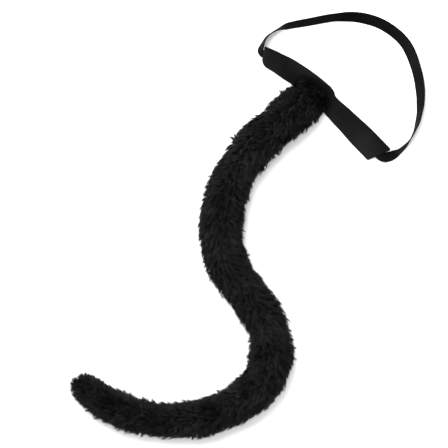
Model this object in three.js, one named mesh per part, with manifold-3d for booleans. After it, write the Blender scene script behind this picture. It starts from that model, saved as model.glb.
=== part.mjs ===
// A costume animal tail, lying on a flat surface: a stuffed tube of deep black fur sewn by its root to the
// face of a flat waist band, whose two ends are joined by a loop of flat elastic.
// Millimetres, +Z up, the surface at z = 0. The origin is the middle of the underside of the whole.
import * as THREE from 'three';
import Module from 'manifold-3d';
import { mergeVertices } from 'three/addons/utils/BufferGeometryUtils.js';

const wasm = await Module();
wasm.setup();

// Driving dimensions.
const TAIL_LENGTH = 607; // along the spine, from the band to the tips of the last locks
const TAIL_WIDTH = 49; // across the tips of the fur where the tail is fullest
const TAIL_HEIGHT = 41; // from the surface to the top of the fur
const FUR_DEPTH = 5; // how far the tips of the locks stand off the backing
const LOCK_LENGTH = 22; // one lock of fur, root to tip
const LOCK_WIDTH = 12;
const LOCK_SPACING = 15.5; // between rows of locks, and between the locks of a row
const TIP_TUFT = 10; // how far the last locks reach past the end of the backing
const HEM_WIDTH = 7; // bare edge of the backing where it is sewn to the band
const BAND_LENGTH = 171;
const BAND_WIDTH = 28.5;
const BAND_THICKNESS = 2.2;
const RIGHT_SLANT = 5; // how far the ends of the band slant: half of the difference in length between its
const LEFT_SLANT = 2.5; // two long edges, at its right end and at its left end
const ELASTIC_LENGTH = 343; // between the two ends of the band, round the loop
const ELASTIC_WIDTH = 12;
const ELASTIC_THICKNESS = 1.4;
const SEWN_LENGTH = 14; // length of elastic that is sewn to the back of the band at each end
const GAP = 0.3; // between two neighbouring pieces
const CLEAR_BEHIND = 6; // how far behind the middle of the band nothing of the tail is left

// Where the tail is sewn to the band, as shares of the band's length and width, and how it leaves it.
const ROOT_ALONG = 0.415;
const ROOT_ACROSS = -0.15;
const ROOT_DEPTH = 1; // how far under the face of the band the backing starts, before the band's room is cut
const ROOT_BEND = 0.07; // share of the spine over which the tail bends down to lie flat

// Size of the backing, inside the fur. Its underside is pressed flat, so its middle lies low.
const PRESSED = 0.86; // height of the middle as a share of the half height
const BACKING_LENGTH = TAIL_LENGTH - TIP_TUFT;
const CORE_HALF_WIDTH = TAIL_WIDTH / 2 - FUR_DEPTH;
const CORE_HALF_HEIGHT = (TAIL_HEIGHT - FUR_DEPTH) / (1 + PRESSED);

// Headings are degrees anticlockwise from +X, seen from above.
const SPINE_HEADING = -137;
const SPINE_STRETCHES = [
  { share: 0.11, turn: -4 },
  { share: 0.17, turn: 40 },
  { share: 0.14, turn: 48 },
  { share: 0.06, turn: 0 },
  { share: 0.19, turn: -96 },
  { share: 0.33, turn: -78 },
];

// Half width and half height of the backing along its length, as shares of their fullest values.
const TAIL_SECTIONS = [
  { at: 0, wide: 0.98, tall: 0.54 },
  { at: 0.03, wide: 0.99, tall: 0.84 },
  { at: 0.07, wide: 0.98, tall: 0.97 },
  { at: 0.2, wide: 0.95, tall: 0.96 },
  { at: 0.33, wide: 1.02, tall: 1.02 },
  { at: 0.47, wide: 0.93, tall: 0.96 },
  { at: 0.6, wide: 1, tall: 1 },
  { at: 0.72, wide: 0.87, tall: 0.88 },
  { at: 0.84, wide: 0.76, tall: 0.82 },
  { at: 0.93, wide: 0.75, tall: 0.78 },
  { at: 0.975, wide: 0.7, tall: 0.74 },
  { at: 0.993, wide: 0.56, tall: 0.6 },
  { at: 1, wide: 0.36, tall: 0.4 },
];

// The band from its left end: the crease beside the root is the pair of short stretches.
const BAND_HEADING = -26;
const BAND_STRETCHES = [
  { share: 0.34, turn: -10 },
  { share: 0.12, turn: -6 },
  { share: 0.03, turn: -40 },
  { share: 0.03, turn: 38 },
  { share: 0.48, turn: -2 },
];

// Lean of the band from lying flat, in degrees: its outer long edge rests on the surface.
const BAND_LEANS = [
  { at: 0, lean: 50 },
  { at: 0.08, lean: 44 },
  { at: 0.2, lean: 35 },
  { at: 0.32, lean: 35 },
  { at: 0.46, lean: 36 },
  { at: 0.56, lean: 44 },
  { at: 0.68, lean: 35 },
  { at: 0.86, lean: 21 },
  { at: 1, lean: 21 },
];

// Points that the elastic passes, along and out from the line between the band's ends, as shares of it.
const ELASTIC_POINTS = [
  { along: -0.043, out: 0.035 },
  { along: -0.058, out: 0.095 },
  { along: -0.04, out: 0.17 },
  { along: -0.005, out: 0.235 },
  { along: 0.085, out: 0.35 },
  { along: 0.2, out: 0.49 },
  { along: 0.315, out: 0.59 },
  { along: 0.465, out: 0.655 },
  { along: 0.645, out: 0.66 },
  { along: 0.805, out: 0.585 },
  { along: 0.94, out: 0.475 },
  { along: 1.04, out: 0.335 },
  { along: 1.085, out: 0.205 },
  { along: 1.085, out: 0.115 },
  { along: 1.06, out: 0.04 },
];

// Lean of the elastic between the band's ends, in degrees from lying flat: 90 is standing on edge. At the
// ends themselves it leans as the band does.
const ELASTIC_LEANS = [
  { at: 0.03, lean: 114 },
  { at: 0.055, lean: 99 },
  { at: 0.11, lean: 88 },
  { at: 0.145, lean: 57 },
  { at: 0.2, lean: 50 },
  { at: 0.3, lean: 46 },
  { at: 0.35, lean: 26 },
  { at: 0.41, lean: 6 },
  { at: 0.57, lean: 8 },
  { at: 0.65, lean: 25 },
  { at: 0.7, lean: 28 },
  { at: 0.745, lean: 45 },
  { at: 0.8, lean: 66 },
  { at: 0.86, lean: 88 },
  { at: 0.925, lean: 114 },
  { at: 0.955, lean: 150 },
];
const ELASTIC_STRAIGHT = 4.5; // how far the elastic runs on straight out of each end of the band
const ELASTIC_DROP = 40; // length over which it comes down from the band to rest on the surface

// Shares of the band's length over which it slants towards its right end and its left end.
const RIGHT_SLANT_SHARE = 0.3;
const LEFT_SLANT_SHARE = 0.15;

// How unevenly the locks lie: the full range of each, and the size of the smallest lock.
const SCATTER_ALONG = 0.5; // as a share of the spacing between rows
const SCATTER_ROUND = 0.4; // as a share of the space between the locks of a row
const SCATTER_SIZE = 0.3; // as a share of a lock's named size
const SCATTER_SWAY = 0.5; // sideways, as a share of a lock's length
const SMALLEST_LOCK = 0.85;
const LOCK_SEED = 10;
const FEWEST_LOCKS = 4; // in a row
const UNDERSIDE = -0.6; // sine of the angle round the tail under which it is pressed flat and has no locks

// Fineness of the meshes.
const TAIL_RINGS = 50;
const RING_CROWDING = 0.5; // from 0, evenly spaced rings, to 1, rings crowded to the root and the tip
const TAIL_SIDES = 12;
const BAND_RINGS = 60;
const ELASTIC_RINGS = 84;
const SEWN_RINGS = 4;

// The range in which the bulge of the elastic is looked for, as shares of its drawn bulge, and how finely.
const LEAST_BULGE = 0.4;
const MOST_BULGE = 2.5;
const BULGE_STEPS = 24;
const LINE_DIVISIONS = 800;

// Colour and roughness of the fur, the cloth of the band and the elastic.
const FUR = { color: 0x0d0d0e, roughness: 0.95 };
const BAND_CLOTH = { color: 0x151516, roughness: 0.85 };
const ELASTIC = { color: 0x121213, roughness: 0.8 };

const radians = THREE.MathUtils.degToRad;
const UP = new THREE.Vector3(0, 0, 1);

// Reads one column of a table of stations, easing from row to row.
function readTable(rows, column, at) {
  let row = 0;
  while (row < rows.length - 2 && at > rows[row + 1].at) {
    row += 1;
  }
  const here = rows[row];
  const next = rows[row + 1];
  const part = THREE.MathUtils.smoothstep(at, here.at, next.at);
  return THREE.MathUtils.lerp(here[column], next[column], part);
}

// Follows a table of stretches, each an arc, and gives the place and heading at a share of the length.
function followStretches(stretches, startHeading, length, at) {
  let x = 0;
  let y = 0;
  let heading = radians(startHeading);
  let left = at;
  stretches.forEach((stretch, index) => {
    const isLast = index === stretches.length - 1;
    const share = isLast ? left : Math.min(left, stretch.share);
    const turn = radians(stretch.turn) * (share / stretch.share);
    const chordHeading = heading + turn / 2;
    const chord = turn === 0 ? share : (share * Math.sin(turn / 2)) / (turn / 2);
    x += chord * length * Math.cos(chordHeading);
    y += chord * length * Math.sin(chordHeading);
    heading += turn;
    left -= share;
  });
  return { x, y, heading };
}

// The directions of a flat strip at one place: along it, across it, and out of its upper face.
function stripDirections(heading, lean) {
  const along = new THREE.Vector3(Math.cos(heading), Math.sin(heading), 0);
  const level = new THREE.Vector3(-Math.sin(heading), Math.cos(heading), 0);
  const across = level.multiplyScalar(Math.cos(lean)).addScaledVector(UP, Math.sin(lean));
  const out = new THREE.Vector3().crossVectors(along, across);
  return { along, across, out };
}

// Height of the middle of a strip that rests on the surface by its lower edge.
function restingHeight(width, thickness, lean) {
  return (width / 2) * Math.abs(Math.sin(lean)) + (thickness / 2) * Math.abs(Math.cos(lean));
}

// The middle of the band at a share of its length, with its directions there.
function bandPlace(at) {
  const root = followStretches(BAND_STRETCHES, BAND_HEADING, BAND_LENGTH, ROOT_ALONG);
  const place = followStretches(BAND_STRETCHES, BAND_HEADING, BAND_LENGTH, at);
  const lean = radians(readTable(BAND_LEANS, 'lean', at));
  const height = restingHeight(BAND_WIDTH, BAND_THICKNESS, lean);
  const middle = new THREE.Vector3(place.x - root.x, place.y - root.y, height);
  return { middle, lean, heading: place.heading, ...stripDirections(place.heading, lean) };
}

// Makes one closed mesh from rings of points of the same count, with a flat end on the first and last.
function loftRings(rings) {
  const count = rings[0].length;
  const positions = rings.flat().flatMap((point) => [point.x, point.y, point.z]);
  const faces = [];
  for (let ring = 0; ring < rings.length - 1; ring += 1) {
    for (let side = 0; side < count; side += 1) {
      const a = ring * count + side;
      const b = ring * count + ((side + 1) % count);
      faces.push(a, b, b + count);
      faces.push(a, b + count, a + count);
    }
  }
  const lastStart = (rings.length - 1) * count;
  for (let side = 1; side < count - 1; side += 1) {
    faces.push(0, side + 1, side);
    faces.push(lastStart, lastStart + side, lastStart + side + 1);
  }
  const geometry = new THREE.BufferGeometry();
  geometry.setAttribute('position', new THREE.Float32BufferAttribute(positions, 3));
  geometry.setIndex(faces);
  return geometry;
}

// A closed geometry as a solid that can be joined and cut.
function toSolid(geometry) {
  const merged = mergeVertices(geometry);
  const vertProperties = new Float32Array(merged.attributes.position.array);
  const triVerts = new Uint32Array(merged.index.array);
  return new wasm.Manifold(new wasm.Mesh({ numProp: 3, vertProperties, triVerts }));
}

// A joined or cut solid as a flat-shaded geometry.
function toGeometry(solid) {
  const mesh = solid.getMesh();
  const geometry = new THREE.BufferGeometry();
  geometry.setAttribute('position', new THREE.Float32BufferAttribute(Array.from(mesh.vertProperties), 3));
  geometry.setIndex(Array.from(mesh.triVerts));
  return geometry;
}

// Corners of a strip's section, as shares of half its width and thickness: square, and with softened edges.
const SQUARE_SECTION = [
  { across: -1, out: -1 },
  { across: 1, out: -1 },
  { across: 1, out: 1 },
  { across: -1, out: 1 },
];
const ROUNDED_SECTION = [
  { across: -0.96, out: -1 },
  { across: 0.96, out: -1 },
  { across: 1, out: -0.4 },
  { across: 1, out: 0.4 },
  { across: 0.96, out: 1 },
  { across: -0.96, out: 1 },
  { across: -1, out: 0.4 },
  { across: -1, out: -0.4 },
];

// Shift along the band of a point across it, as a share of its length, where its ends slant.
function bandSlant(at, across) {
  const right = THREE.MathUtils.smoothstep(at, 1 - RIGHT_SLANT_SHARE, 1) * RIGHT_SLANT;
  const left = (1 - THREE.MathUtils.smoothstep(at, 0, LEFT_SLANT_SHARE)) * LEFT_SLANT;
  return ((right - left) * across) / BAND_LENGTH;
}

// The band, or with a larger width and thicknesses the room that its neighbours leave for it.
function bandGeometry(halfWidth, frontDepth, backDepth) {
  const rings = [];
  for (let ring = 0; ring <= BAND_RINGS; ring += 1) {
    const at = ring / BAND_RINGS;
    rings.push(ROUNDED_SECTION.map((corner) => {
      const place = bandPlace(at + bandSlant(at, corner.across));
      const depth = corner.out > 0 ? frontDepth : backDepth;
      return place.middle.clone()
        .addScaledVector(place.across, corner.across * halfWidth)
        .addScaledVector(place.out, corner.out * depth);
    }));
  }
  return loftRings(rings);
}

function makeBand() {
  return bandGeometry(BAND_WIDTH / 2, BAND_THICKNESS / 2, BAND_THICKNESS / 2);
}

// The elastic where it is sewn to the back of the band, at a share of the band's length.
function sewnPlace(at) {
  const place = bandPlace(at);
  const offset = BAND_THICKNESS / 2 + GAP + ELASTIC_THICKNESS / 2;
  const point = place.middle.clone().addScaledVector(place.out, -offset);
  return { ...place, point };
}

// The line of the elastic between the band's ends, seen from above, with its bulge out scaled by a factor.
function elasticLine(bulge) {
  const left = sewnPlace(0);
  const right = sewnPlace(1);
  const along = right.point.clone().sub(left.point).setZ(0);
  const out = new THREE.Vector3(-along.y, along.x, 0);
  const free = ELASTIC_POINTS.map((row) => left.point.clone()
    .addScaledVector(along, row.along)
    .addScaledVector(out, row.out * bulge));
  const leaving = left.point.clone().addScaledVector(left.along, -ELASTIC_STRAIGHT);
  const arriving = right.point.clone().addScaledVector(right.along, ELASTIC_STRAIGHT);
  const points = [left.point, leaving, ...free, arriving, right.point].map((point) => point.setZ(0));
  const line = new THREE.CatmullRomCurve3(points, false, 'centripetal');
  line.arcLengthDivisions = LINE_DIVISIONS;
  return line;
}

// The line whose length is that of the elastic, found by halving the range of the bulge.
function fitElasticLine() {
  let low = LEAST_BULGE;
  let high = MOST_BULGE;
  for (let step = 0; step < BULGE_STEPS; step += 1) {
    const middle = (low + high) / 2;
    if (elasticLine(middle).getLength() < ELASTIC_LENGTH) {
      low = middle;
    } else {
      high = middle;
    }
  }
  return elasticLine((low + high) / 2);
}

// One section of the elastic round its middle.
function elasticRing(point, across, out) {
  return SQUARE_SECTION.map((corner) => point.clone()
    .addScaledVector(across, (corner.across * ELASTIC_WIDTH) / 2)
    .addScaledVector(out, (corner.out * ELASTIC_THICKNESS) / 2));
}

// The rings of one sewn end, from the end of the elastic to the end of the band.
function sewnRings(bandEnd) {
  const inward = bandEnd === 0 ? 1 : -1;
  return Array.from({ length: SEWN_RINGS }, (_, ring) => {
    const reach = (1 - ring / SEWN_RINGS) * (SEWN_LENGTH / BAND_LENGTH);
    const { point, across, out } = sewnPlace(bandEnd + inward * reach);
    return elasticRing(point, across, out.clone().negate());
  });
}

function makeElastic() {
  const line = fitElasticLine();
  const left = sewnPlace(0);
  const right = sewnPlace(1);
  const straight = ELASTIC_STRAIGHT / ELASTIC_LENGTH;
  const leftLean = THREE.MathUtils.radToDeg(Math.PI - left.lean);
  const rightLean = THREE.MathUtils.radToDeg(Math.PI - right.lean);
  const leans = [
    { at: 0, lean: leftLean },
    { at: straight, lean: leftLean },
    ...ELASTIC_LEANS,
    { at: 1 - straight, lean: rightLean },
    { at: 1, lean: rightLean },
  ];
  const drop = ELASTIC_DROP / ELASTIC_LENGTH;
  const rings = sewnRings(0);
  for (let ring = 0; ring <= ELASTIC_RINGS; ring += 1) {
    const at = ring / ELASTIC_RINGS;
    const point = line.getPointAt(at);
    const tangent = line.getTangentAt(at);
    const lean = radians(readTable(leans, 'lean', at));
    const resting = restingHeight(ELASTIC_WIDTH, ELASTIC_THICKNESS, lean);
    const leaving = 1 - THREE.MathUtils.smoothstep(at, 0, drop);
    const arriving = THREE.MathUtils.smoothstep(at, 1 - drop, 1);
    const held = resting + leaving * (left.point.z - resting) + arriving * (right.point.z - resting);
    point.z = Math.max(held, resting);
    const { across, out } = stripDirections(Math.atan2(tangent.y, tangent.x), lean);
    rings.push(elasticRing(point, across, out));
  }
  return loftRings([...rings, ...sewnRings(1).reverse()]);
}

// The section of the backing at a share of its length: middle, directions and half sizes.
function tailSection(at) {
  const root = bandPlace(ROOT_ALONG);
  const start = root.middle.clone()
    .addScaledVector(root.across, ROOT_ACROSS * BAND_WIDTH)
    .addScaledVector(root.out, BAND_THICKNESS / 2 - ROOT_DEPTH);
  const share = (at * BACKING_LENGTH) / TAIL_LENGTH;
  const place = followStretches(SPINE_STRETCHES, SPINE_HEADING, TAIL_LENGTH, share);
  const halfWidth = readTable(TAIL_SECTIONS, 'wide', at) * CORE_HALF_WIDTH;
  const halfHeight = readTable(TAIL_SECTIONS, 'tall', at) * CORE_HALF_HEIGHT;
  const bent = THREE.MathUtils.clamp(at / ROOT_BEND, 0, 1);
  const lying = halfHeight * PRESSED;
  const rise = Math.sin((bent * Math.PI) / 2);
  const height = THREE.MathUtils.lerp(start.z, lying, rise);
  const still = (1 - bent) * (1 - bent);
  const faceHeading = Math.atan2(root.out.y, root.out.x);
  const tilt = still * Math.asin(root.out.z);
  const heading = place.heading + still * (faceHeading - place.heading);
  const level = new THREE.Vector3(-Math.sin(heading), Math.cos(heading), 0);
  const forward = new THREE.Vector3(
    Math.cos(heading) * Math.cos(tilt), Math.sin(heading) * Math.cos(tilt), Math.sin(tilt));
  const top = new THREE.Vector3().crossVectors(forward, level);
  const middle = new THREE.Vector3(start.x + place.x, start.y + place.y, height);
  return { middle, level, top, halfWidth, halfHeight };
}

// A place on the backing, at a share of its length and an angle round it from its left side over its top:
// the point there, and the direction out of it.
function backingPlace(at, angle) {
  const { middle, level, top, halfWidth, halfHeight } = tailSection(at);
  const point = middle.clone()
    .addScaledVector(level, halfWidth * Math.cos(angle))
    .addScaledVector(top, halfHeight * Math.sin(angle));
  point.z = Math.max(point.z, 0);
  const out = level.clone().multiplyScalar(Math.cos(angle) / halfWidth)
    .addScaledVector(top, Math.sin(angle) / halfHeight)
    .normalize();
  return { point, out };
}

// Shares of the backing's length at which the backing has a ring, closer together at its root and tip.
function ringShare(ring) {
  const even = ring / TAIL_RINGS;
  const eased = (1 - Math.cos(Math.PI * even)) / 2;
  return THREE.MathUtils.lerp(even, eased, RING_CROWDING);
}

function makeBacking() {
  const rings = [];
  for (let ring = 0; ring <= TAIL_RINGS; ring += 1) {
    const at = ringShare(ring);
    rings.push(Array.from({ length: TAIL_SIDES }, (_, side) =>
      backingPlace(at, (side / TAIL_SIDES) * 2 * Math.PI).point));
  }
  return loftRings(rings);
}

// The next of a repeatable row of scattered numbers, which lie evenly about 0 within a full range.
function scatter(range) {
  return (THREE.MathUtils.seededRandom() - 0.5) * range;
}

// Sections of one lock from its root, as shares of its length, half width and height over the backing.
const LOCK_SECTIONS = [
  { along: -0.12, half: 0.7, under: -0.3, ridge: 0.3 },
  { along: 0.4, half: 1, under: 0.1, ridge: 0.85 },
];

// One lock: a three-sided leaf of fur that leaves the backing and points toward the tip of the tail.
function makeLock(at, angle, size, sway) {
  const { halfWidth, halfHeight } = tailSection(at);
  const radius = (halfWidth + halfHeight) / 2;
  const length = LOCK_LENGTH * size;
  const place = (along, across, height) => {
    const turn = (across * LOCK_WIDTH + sway * along * length) / radius;
    const { point, out } = backingPlace(at + (along * length) / BACKING_LENGTH, angle + turn);
    point.addScaledVector(out, height * FUR_DEPTH * size);
    point.z = Math.max(point.z, 0);
    return point;
  };
  const rings = LOCK_SECTIONS.map((section) => [
    place(section.along, -section.half / 2, section.under),
    place(section.along, 0, section.ridge),
    place(section.along, section.half / 2, section.under),
  ]);
  const positions = [...rings.flat(), place(1, 0, 1)].flatMap((point) => [point.x, point.y, point.z]);
  const faces = [
    0, 2, 1,
    0, 1, 4, 0, 4, 3,
    1, 2, 5, 1, 5, 4,
    2, 0, 3, 2, 3, 5,
    3, 4, 6, 4, 5, 6, 5, 3, 6,
  ];
  const geometry = new THREE.BufferGeometry();
  geometry.setAttribute('position', new THREE.Float32BufferAttribute(positions, 3));
  geometry.setIndex(faces);
  return geometry;
}

// Rows of locks round the backing, each row turned by half a space against the one before.
function makeLocks() {
  THREE.MathUtils.seededRandom(LOCK_SEED);
  const locks = [];
  const first = HEM_WIDTH / BACKING_LENGTH;
  const rows = Math.round((BACKING_LENGTH - HEM_WIDTH) / LOCK_SPACING);
  for (let row = 0; row < rows; row += 1) {
    const at = first + ((1 - first) * row) / rows;
    const { halfWidth, halfHeight } = tailSection(at);
    const around = Math.PI * (halfWidth + halfHeight);
    const count = Math.max(FEWEST_LOCKS, Math.round(around / LOCK_SPACING));
    for (let index = 0; index < count; index += 1) {
      const shift = (row % 2) / 2 + scatter(SCATTER_ROUND);
      const angle = ((index + shift) / count) * 2 * Math.PI;
      if (Math.sin(angle) > UNDERSIDE) {
        const place = at + scatter(SCATTER_ALONG * LOCK_SPACING) / BACKING_LENGTH;
        const size = SMALLEST_LOCK + SCATTER_SIZE / 2 + scatter(SCATTER_SIZE);
        locks.push(makeLock(Math.max(place, first), angle, size, scatter(SCATTER_SWAY)));
      }
    }
  }
  return locks;
}

function makeTail() {
  const room = toSolid(bandGeometry(BAND_WIDTH / 2 + GAP, BAND_THICKNESS / 2 + GAP, CLEAR_BEHIND));
  const locks = makeLocks().map(toSolid);
  const furry = wasm.Manifold.union([toSolid(makeBacking()), ...locks]);
  return toGeometry(furry.subtract(room));
}

function makePiece(name, geometry, finish) {
  const material = new THREE.MeshStandardMaterial({ ...finish, metalness: 0 });
  const mesh = new THREE.Mesh(geometry, material);
  mesh.name = name;
  return mesh;
}

const model = new THREE.Group();
model.add(makePiece('tail', makeTail(), FUR));
model.add(makePiece('waistband', makeBand(), BAND_CLOTH));
model.add(makePiece('elastic_strap', makeElastic(), ELASTIC));

// Brings the middle of the underside to the origin.
const box = new THREE.Box3().setFromObject(model);
const middle = box.getCenter(new THREE.Vector3());
model.position.set(-middle.x, -middle.y, -box.min.z);
model.updateMatrixWorld(true);

export default model;
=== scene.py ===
"""Looks of the costume animal tail: deep black fur on a stuffed tube, its smooth waistband and its elastic.

Everything is in metres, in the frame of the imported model. The tables and sizes are those of its source.
"""
import math

import bpy
import numpy as np
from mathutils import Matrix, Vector


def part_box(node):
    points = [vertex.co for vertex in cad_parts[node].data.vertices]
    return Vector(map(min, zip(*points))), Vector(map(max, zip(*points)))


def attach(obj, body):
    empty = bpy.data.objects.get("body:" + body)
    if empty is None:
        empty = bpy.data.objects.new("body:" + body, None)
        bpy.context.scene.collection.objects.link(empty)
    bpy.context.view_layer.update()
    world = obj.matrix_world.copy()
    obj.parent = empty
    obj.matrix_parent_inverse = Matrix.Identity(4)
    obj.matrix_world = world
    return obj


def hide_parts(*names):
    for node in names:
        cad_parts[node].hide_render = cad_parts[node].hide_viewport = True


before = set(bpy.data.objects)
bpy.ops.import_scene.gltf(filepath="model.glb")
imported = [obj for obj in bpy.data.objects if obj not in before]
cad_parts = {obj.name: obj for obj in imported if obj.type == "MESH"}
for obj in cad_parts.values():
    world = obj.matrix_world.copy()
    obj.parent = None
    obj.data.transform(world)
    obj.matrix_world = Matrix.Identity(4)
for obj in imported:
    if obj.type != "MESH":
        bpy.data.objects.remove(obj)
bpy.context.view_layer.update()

MM = 0.001
TINY = 1e-12

# Sizes of the real pieces, and the shares of the band's half width and half thickness at which its lowest
# points are looked for.
TAIL_LENGTH = 607 * MM
TAIL_WIDTH = 49 * MM
TAIL_HEIGHT = 41 * MM
FUR_DEPTH = 5 * MM
TIP_TUFT = 10 * MM
BAND_LENGTH = 171 * MM
BAND_WIDTH = 28.5 * MM
BAND_THICKNESS = 2.2 * MM
BAND_FACE_SHARE = 0.96
BAND_EDGE_SHARE = 0.4
RIGHT_SLANT = 5 * MM
LEFT_SLANT = 2.5 * MM
ELASTIC_LENGTH = 343 * MM
ELASTIC_WIDTH = 12 * MM
ELASTIC_THICKNESS = 1.4 * MM
SEWN_LENGTH = 14 * MM
GAP = 0.3 * MM

# Where the tail is sewn to the band, and the form of its backing.
ROOT_ALONG = 0.415
ROOT_ACROSS = -0.15
ROOT_DEPTH = 1 * MM
ROOT_BEND = 0.07
PRESSED = 0.86
BACKING_LENGTH = TAIL_LENGTH - TIP_TUFT
CORE_HALF_WIDTH = TAIL_WIDTH / 2 - FUR_DEPTH
CORE_HALF_HEIGHT = (TAIL_HEIGHT - FUR_DEPTH) / (1 + PRESSED)

# Headings and turns in degrees, anticlockwise from +X seen from above.
SPINE_HEADING = -137
SPINE_STRETCHES = [
    {"share": 0.11, "turn": -4},
    {"share": 0.17, "turn": 40},
    {"share": 0.14, "turn": 48},
    {"share": 0.06, "turn": 0},
    {"share": 0.19, "turn": -96},
    {"share": 0.33, "turn": -78},
]
TAIL_SECTIONS = [
    {"at": 0, "wide": 0.98, "tall": 0.54},
    {"at": 0.03, "wide": 0.99, "tall": 0.84},
    {"at": 0.07, "wide": 0.98, "tall": 0.97},
    {"at": 0.2, "wide": 0.95, "tall": 0.96},
    {"at": 0.33, "wide": 1.02, "tall": 1.02},
    {"at": 0.47, "wide": 0.93, "tall": 0.96},
    {"at": 0.6, "wide": 1, "tall": 1},
    {"at": 0.72, "wide": 0.87, "tall": 0.88},
    {"at": 0.84, "wide": 0.76, "tall": 0.82},
    {"at": 0.93, "wide": 0.75, "tall": 0.78},
    {"at": 0.975, "wide": 0.7, "tall": 0.74},
    {"at": 0.993, "wide": 0.56, "tall": 0.6},
    {"at": 1, "wide": 0.36, "tall": 0.4},
]
BAND_HEADING = -26
BAND_STRETCHES = [
    {"share": 0.34, "turn": -10},
    {"share": 0.12, "turn": -6},
    {"share": 0.03, "turn": -40},
    {"share": 0.03, "turn": 38},
    {"share": 0.48, "turn": -2},
]
BAND_LEANS = [
    {"at": 0, "lean": 50},
    {"at": 0.08, "lean": 44},
    {"at": 0.2, "lean": 35},
    {"at": 0.32, "lean": 35},
    {"at": 0.46, "lean": 36},
    {"at": 0.56, "lean": 44},
    {"at": 0.68, "lean": 35},
    {"at": 0.86, "lean": 21},
    {"at": 1, "lean": 21},
]
RIGHT_SLANT_SHARE = 0.3
LEFT_SLANT_SHARE = 0.15
ELASTIC_POINTS = [
    {"along": -0.043, "out": 0.035},
    {"along": -0.058, "out": 0.095},
    {"along": -0.04, "out": 0.17},
    {"along": -0.005, "out": 0.235},
    {"along": 0.085, "out": 0.35},
    {"along": 0.2, "out": 0.49},
    {"along": 0.315, "out": 0.59},
    {"along": 0.465, "out": 0.655},
    {"along": 0.645, "out": 0.66},
    {"along": 0.805, "out": 0.585},
    {"along": 0.94, "out": 0.475},
    {"along": 1.04, "out": 0.335},
    {"along": 1.085, "out": 0.205},
    {"along": 1.085, "out": 0.115},
    {"along": 1.06, "out": 0.04},
]
ELASTIC_LEANS = [
    {"at": 0.03, "lean": 114},
    {"at": 0.055, "lean": 99},
    {"at": 0.11, "lean": 88},
    {"at": 0.145, "lean": 57},
    {"at": 0.2, "lean": 50},
    {"at": 0.3, "lean": 46},
    {"at": 0.35, "lean": 26},
    {"at": 0.41, "lean": 6},
    {"at": 0.57, "lean": 8},
    {"at": 0.65, "lean": 25},
    {"at": 0.7, "lean": 28},
    {"at": 0.745, "lean": 45},
    {"at": 0.8, "lean": 66},
    {"at": 0.86, "lean": 88},
    {"at": 0.925, "lean": 114},
    {"at": 0.955, "lean": 150},
]
ELASTIC_STRAIGHT = 4.5 * MM
ELASTIC_DROP = 40 * MM
ELASTIC_EASING = 14
FACE_DOWN = 180
LEAST_BULGE = 0.4
MOST_BULGE = 2.5
BULGE_STEPS = 24

# How finely the backing, the band and the elastic are drawn: rings along them, and points round them.
BACKING_START = 0.004
BACKING_RINGS = 220
BACKING_SIDES = 48
BAND_RINGS = 240
BAND_OUTLINE = {"flat_points": 27, "edge_points": 7}
END_STATIONS = (0, 0.1, 0.3, 0.6, 1.0)
LEAST_ROUNDING = 0.02
ELASTIC_RINGS = 420
SEWN_RINGS = 16
ELASTIC_OUTLINE = {"flat_points": 7, "edge_points": 5}
CURVE_STEPS = 40
SHIFT_STATIONS = 61

# The fur: its locks lie in rows round the backing, and each lock is a tuft of strands.
LOCK_STEP = 3.1 * MM
STRANDS_PER_LOCK = 23
END_LOCKS = 70
LOCK_RADIUS = 1.8 * MM
STRAND_LENGTH = 10 * MM
STRAND_RISE = 3.55 * MM
STRAND_HALF_WIDTH = 0.18 * MM
STRAND_STATIONS = (0.0, 0.36, 0.7, 1.0)
STRAND_TAPER = (1.0, 0.95, 0.62)
LOCK_POINT = 0.95
# How much darker the strands at the rim of a lock are: painted shade between the locks.
RIM_PAINTED_SHADE = 0.7
LONG_LOCKS = 0.17
LONG_LOCK_SIZE = 1.15
LONG_LOCK_RISE = 1.5
STRAY_SHARE = 0.05
STRAY_SCATTER = 0.5
STRAY_RISE = 0.25
BACKING_CLEARANCE = 0.7 * MM
LOWEST_STRAND = 0.12 * MM
HIGHEST_LOW_STRAND = 0.55 * MM
FUR_PIECES = 5
FUR_SEED = 11

# The tail near its root stays in front of the band: the shares of both that can meet, and their distance.
ROOT_SHARE = 0.08
NEAR_ROOT = (0.2, 0.66)
NEAR_ROOT_STATIONS = 60
ROOT_CLEARANCE = 0.35 * MM

# How the locks lie: waves over the tail, as their size, number and length, and the chance around them.
LEAST_LOCKS = 6
LOCK_JITTER = 0.6
LOCK_LIMITS = (0.004, 0.999)
SPLAY = 0.75
SPLAY_ONCE = 0.5
SPLAY_TWICE = 0.6
WAY_WAVES = (0.62, 7, 36 * MM)
WAY_SCATTER = 0.3
RISE_WAVES = (0.2, 5, 30 * MM)
RISE_SCATTER = 0.22
RISE_LIMITS = (0.4, 1.6)
SIZE_SCATTER = 0.17
SIZE_LIMITS = (0.6, 1.5)
BEND_SCATTER = 0.22
SHADE_WAVES = (0.2, 5, 40 * MM)
SHADE_SCATTER = 0.22
SHORTEST_WAVE = 0.3
MOST_TURNS = 3

# How the strands of one lock differ, how they bend, and where the fur starts to close round the tip.
STRAND_START = 0.003
STRAND_WAY_SCATTER = 0.08
STRAND_LENGTHS = (0.8, 1.05)
STRAND_RISES = (0.85, 1.08)
STRAND_WIDTHS = (0.75, 1.25)
STRAND_ROLL = 0.9
CURL_SCATTER = 0.05
STRAND_LAG = 0.22
ROOT_SINK = 0.4 * MM
RISE_POWER = 1.35
GATHER_POWER = 1.1
LOCK_SHADE_SHARE = 0.65
# How closely the painted shade keeps to the rim of each lock.
RIM_POWER = 3
TIP_START = 0.95
TIP_REACH = 0.04

# Length of the fur and how far it stands off the backing, as shares of their full values along the tail.
FUR_LENGTHS = [
    {"at": 0, "length": 0.7, "rise": 1.1, "ahead": 0.6},
    {"at": 0.02, "length": 0.85, "rise": 1.05, "ahead": 0.8},
    {"at": 0.05, "length": 0.95, "rise": 1, "ahead": 1},
    {"at": 0.93, "length": 1, "rise": 1, "ahead": 1},
    {"at": 1, "length": 0.72, "rise": 0.9, "ahead": 1},
]

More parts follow.
